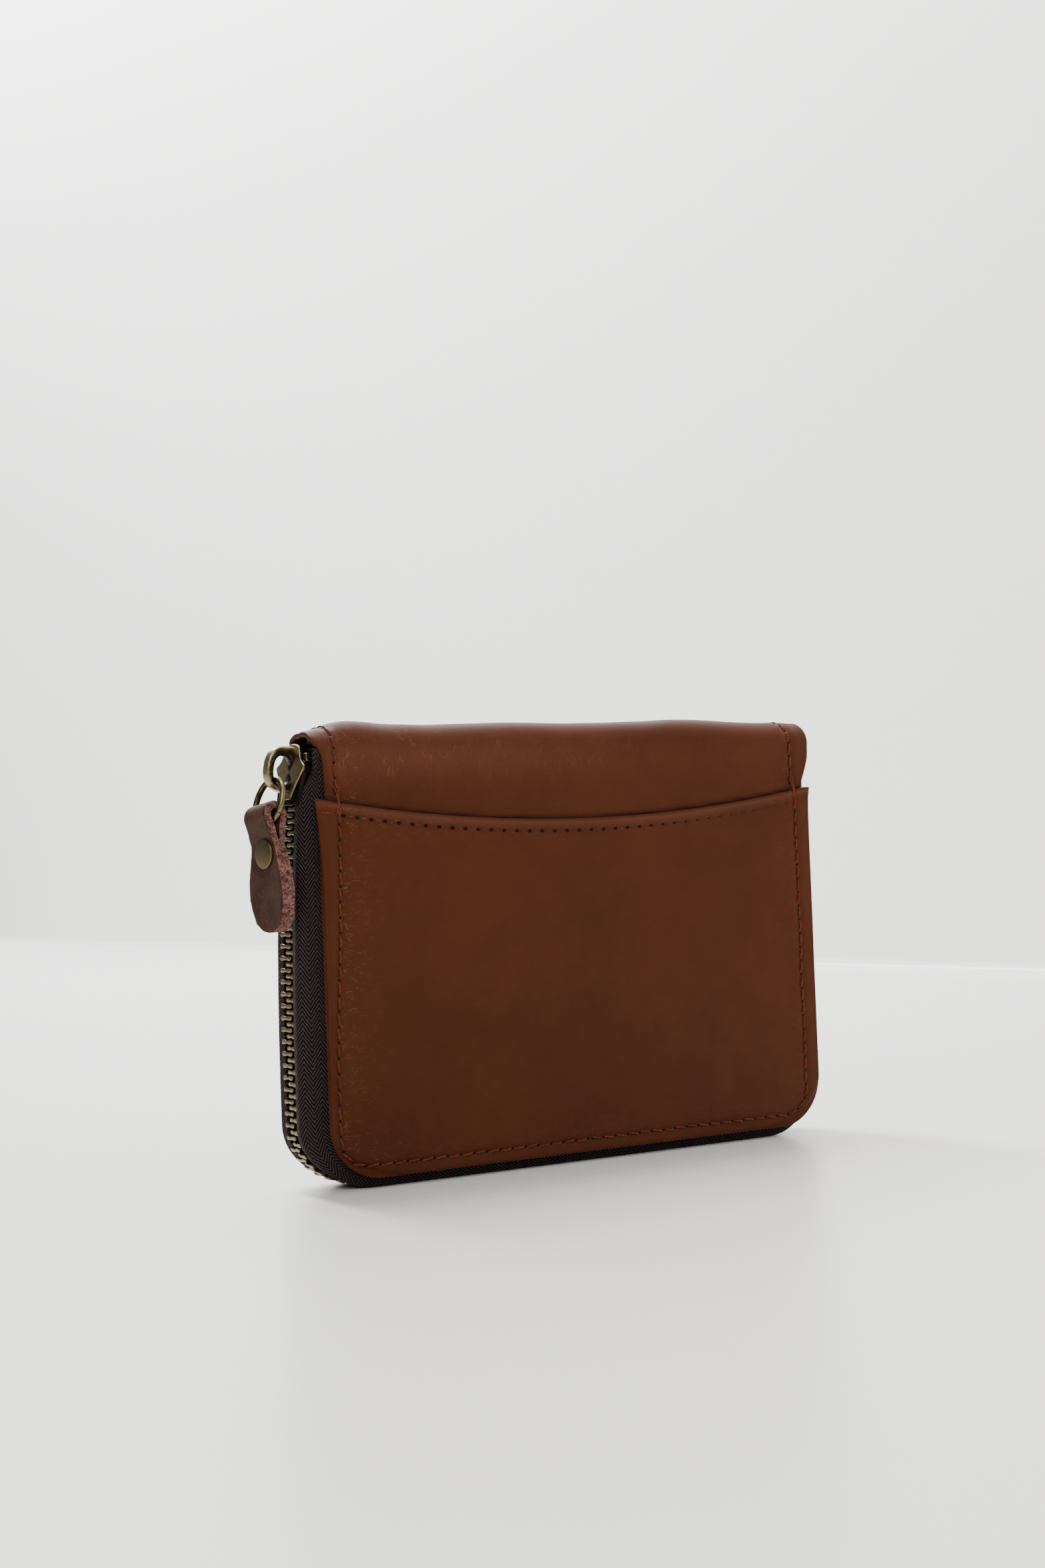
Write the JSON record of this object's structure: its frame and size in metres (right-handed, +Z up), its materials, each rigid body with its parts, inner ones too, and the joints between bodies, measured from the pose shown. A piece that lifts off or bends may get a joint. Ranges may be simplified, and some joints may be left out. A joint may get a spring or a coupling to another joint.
{
  "type": "zip-around wallet",
  "caption": "Small leather zip-around wallet with an outside slip pocket, inner card pockets and a zipped coin pocket, standing on its zipped edge.",
  "frame": {"origin": "on the flat crest of the zip tape that the wallet stands on, level with the middle of the zip chain and half way along the covers", "axes": "+Z up, from the zipped edge to the folded spine; +X along the width, away from the parked slider; +Y through the thickness, from the slip pocket to the back cover"},
  "size_m": [0.1323, 0.0164, 0.0903],
  "materials": {
    "cover_leather": "waxed reddish brown leather, faint grain, semi-matt",
    "tab_leather": "brown leather with raw pinkish edges",
    "lining": "dark brown cotton twill",
    "pocket_leather": "thin brown leather",
    "board": "grey board",
    "zip_tape": "woven dark brown zip tape",
    "antique_brass": "antiqued brass, worn bright on its edges",
    "thread": "waxed rust-red thread"
  },
  "bodies": {
    "back_half": {"back_cover": "cover_leather", "back_stiffener": "board", "back_lining": "lining", "card_pocket_1": "pocket_leather", "card_pocket_2": "pocket_leather", "card_pocket_3": "pocket_leather", "back_zip_tape": "zip_tape", "back_zip_teeth": "antique_brass", "back_top_stop": "antique_brass", "bottom_stop": "antique_brass", "back_stitching": "thread"},
    "spine": {"spine_cover": "cover_leather", "spine_stiffener": "board", "spine_lining": "lining", "spine_stitching": "thread"},
    "front_half": {"front_cover": "cover_leather", "front_slip_pocket": "cover_leather", "front_stiffener": "board", "front_lining": "lining", "front_zip_tape": "zip_tape", "front_zip_teeth": "antique_brass", "front_top_stop": "antique_brass", "front_stitching": "thread", "pocket_hem_stitching": "thread", "coin_pocket": "lining", "coin_zip_lower_tape": "zip_tape", "coin_zip_upper_tape": "zip_tape", "coin_zip_lower_teeth": "antique_brass", "coin_zip_upper_teeth": "antique_brass"},
    "slider": {"slider_body": "antique_brass", "slider_bridge": "antique_brass"},
    "ring": {"pull_ring": "antique_brass"},
    "pull": {"pull_tab": "tab_leather", "rivet_cap": "antique_brass", "rivet_back": "antique_brass"},
    "inner_slider": {"coin_slider": "antique_brass"},
    "inner_pull": {"coin_pull": "antique_brass"}
  },
  "joints": [
    {"name": "spine_fold", "type": "hinge", "parent": "back_half", "child": "spine", "pos_m": [0, 0.00614, 0.08914], "axis": [-1, 0, 0], "range_deg": [0, 88]},
    {"name": "front_fold", "type": "hinge", "parent": "spine", "child": "front_half", "pos_m": [0, -0.00614, 0.08914], "axis": [-1, 0, 0], "range_deg": [0, 88]},
    {"name": "zip_slide", "type": "slide", "parent": "back_half", "child": "slider", "axis": [-0.0646, 0, -0.9979], "range_m": [0, 0.048], "deforming": ["front_zip_tape", "back_zip_tape", "front_zip_teeth", "back_zip_teeth"]},
    {"name": "ring_lift", "type": "hinge", "parent": "slider", "child": "ring", "pos_m": [-0.06493, -0.00056, 0.08012], "axis": [-0.1045, 0.9945, 0], "range_deg": [0, 120]},
    {"name": "pull_swing", "type": "hinge", "parent": "ring", "child": "pull", "pos_m": [-0.06632, -0.00071, 0.07553], "axis": [0.9511, 0.1, -0.2924], "range_deg": [-15, 35]},
    {"name": "coin_zip_slide", "type": "slide", "parent": "front_half", "child": "inner_slider", "axis": [1, 0, 0], "range_m": [0, 0.074], "deforming": ["coin_zip_lower_teeth", "coin_zip_upper_teeth"]},
    {"name": "coin_pull_swing", "type": "hinge", "parent": "inner_slider", "child": "inner_pull", "pos_m": [-0.036, 0, 0.0656], "axis": [0, 1, 0], "range_deg": [-70, 70]}
  ],
  "couplings": [
    {"joint": "front_fold", "follows": "spine_fold", "ratio": 1}
  ]
}
